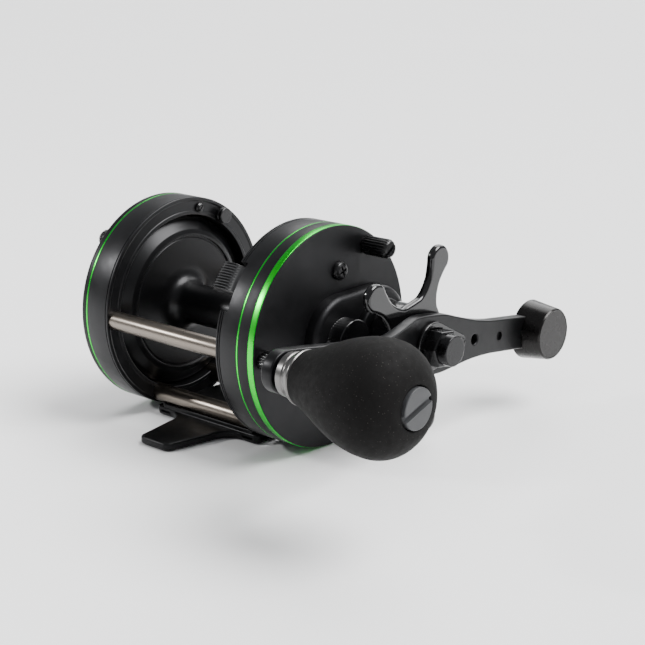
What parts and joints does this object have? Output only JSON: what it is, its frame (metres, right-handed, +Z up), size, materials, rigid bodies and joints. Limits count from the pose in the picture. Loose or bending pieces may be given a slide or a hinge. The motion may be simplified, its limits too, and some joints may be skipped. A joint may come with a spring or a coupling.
{
  "type": "trolling reel",
  "caption": "Round-framed conventional reel with star drag, thumb clutch lever, open pillar frame, rod foot and a single power handle with a bulb-shaped knob.",
  "frame": {"origin": "centre of the underside of the foot, where it rests in the rod's reel seat", "axes": "+X along the spool axis towards the handle side, +Y forward where the line leaves, +Z up"},
  "size_m": [0.1231, 0.1224, 0.0551],
  "materials": {
    "black_satin": "satin anodised",
    "pillar_steel": "turned",
    "green_anodised": "metallic gloss",
    "black_hardware": "semi gloss",
    "black_gloss": "gloss",
    "screw_steel": "plain",
    "bearing_steel": "ground",
    "bronze": "plain",
    "plate_aluminium": "machined",
    "spring_steel": "plain",
    "shaft_steel": "ground",
    "thumb_plastic": "matte",
    "brake_plastic": "matte",
    "drag_fibre": "woven fibre",
    "spindle_steel": "turned",
    "ferrule_steel": "turned",
    "grip_foam": "fine open grain",
    "cap_plastic": "matte"
  },
  "bodies": {
    "frame": {"left_ring": "black_satin", "right_ring": "black_satin", "rear_pillar": "pillar_steel", "front_pillar": "pillar_steel", "lower_rear_pillar": "pillar_steel", "lower_front_pillar": "pillar_steel", "foot": "black_satin", "foot_screws": "screw_steel", "ring_stud": "black_hardware", "ring_screw": "black_hardware", "left_side_plate": "black_satin", "left_pinstripe": "green_anodised", "left_thumbscrews": "black_hardware", "left_bearing": "bearing_steel", "brake_drum": "bronze", "right_side_plate": "black_satin", "right_pinstripe": "green_anodised", "accent_band": "green_anodised", "right_thumbscrews": "black_hardware", "cover_screws": "black_hardware", "pillar_screws": "black_hardware", "bridge_plate": "plate_aluminium", "drive_bushing": "bronze", "drive_bearing": "bearing_steel", "right_bearing": "bearing_steel", "yoke_springs": "spring_steel"},
    "clutch": {"clutch_lever": "plate_aluminium", "clutch_thumb_pad": "thumb_plastic"},
    "yoke": {"yoke": "spring_steel"},
    "pinion": {"pinion_gear": "bronze"},
    "spool": {"spool": "black_gloss", "spool_shaft": "shaft_steel", "drive_pin": "screw_steel", "brake_hub": "shaft_steel"},
    "front_brake": {"front_brake_block": "brake_plastic"},
    "rear_brake": {"rear_brake_block": "brake_plastic"},
    "gear": {"main_gear": "bronze", "fibre_drag_washers": "drag_fibre"},
    "handle": {"drive_shaft": "shaft_steel", "metal_drag_washers": "spring_steel", "ratchet_wheel": "spring_steel", "drag_sleeve": "spring_steel", "spring_washers": "spring_steel", "handle_arm": "black_satin", "handle_nut": "black_gloss", "nut_lock_plate": "black_gloss", "lock_plate_screw": "screw_steel", "counterbalance": "black_gloss", "counterbalance_screw": "screw_steel", "knob_spindle": "spindle_steel", "knob_end_cap": "cap_plastic"},
    "star": {"star_wheel": "black_gloss"},
    "knob": {"knob_grip": "grip_foam", "knob_ferrule": "ferrule_steel", "knob_bushings": "bronze"},
    "tension": {"tension_cap": "black_hardware", "tension_shim": "bronze"},
    "pawl": {"anti_reverse_pawl": "spring_steel"}
  },
  "joints": [
    {"name": "crank_turn", "type": "hinge", "parent": "frame", "child": "gear", "pos_m": [0, 0.01354, 0.02637], "axis": [1, 0, 0], "continuous": true},
    {"name": "drag_slip", "type": "hinge", "parent": "gear", "child": "handle", "pos_m": [0, 0.01354, 0.02637], "axis": [1, 0, 0], "continuous": true},
    {"name": "star_turn", "type": "hinge", "parent": "handle", "child": "star", "pos_m": [0, 0.01354, 0.02637], "axis": [1, 0, 0], "range_deg": [-180, 180]},
    {"name": "knob_spin", "type": "hinge", "parent": "handle", "child": "knob", "pos_m": [0, -0.04242, 0.03413], "axis": [1, 0, 0], "continuous": true},
    {"name": "spool_spin", "type": "hinge", "parent": "frame", "child": "spool", "pos_m": [0, 0, 0.0276], "axis": [1, 0, 0], "continuous": true},
    {"name": "front_brake_slide", "type": "slide", "parent": "spool", "child": "front_brake", "axis": [0, 1, 0], "range_m": [0, 0.0019]},
    {"name": "rear_brake_slide", "type": "slide", "parent": "spool", "child": "rear_brake", "axis": [0, -1, 0], "range_m": [0, 0.0019]},
    {"name": "clutch_press", "type": "hinge", "parent": "frame", "child": "clutch", "pos_m": [0, 0, 0.0276], "axis": [1, 0, 0], "range_deg": [0, 9]},
    {"name": "yoke_lift", "type": "slide", "parent": "frame", "child": "yoke", "axis": [1, 0, 0], "range_m": [0, 0.0011], "deforming": ["yoke_springs"]},
    {"name": "pinion_spin", "type": "hinge", "parent": "yoke", "child": "pinion", "pos_m": [0, 0, 0.0276], "axis": [1, 0, 0], "continuous": true},
    {"name": "tension_cap_turn", "type": "hinge", "parent": "frame", "child": "tension", "pos_m": [0, 0, 0.0276], "axis": [1, 0, 0], "range_deg": [-180, 180]},
    {"name": "pawl_engage", "type": "hinge", "parent": "frame", "child": "pawl", "pos_m": [0, 0.02154, 0.01917], "axis": [1, 0, 0], "range_deg": [-6, 0]}
  ],
  "couplings": [
    {"joint": "spool_spin", "follows": "crank_turn", "ratio": -4.6667},
    {"joint": "pinion_spin", "follows": "crank_turn", "ratio": -4.6667},
    {"joint": "yoke_lift", "follows": "clutch_press", "m_per_rad": 0.007}
  ]
}
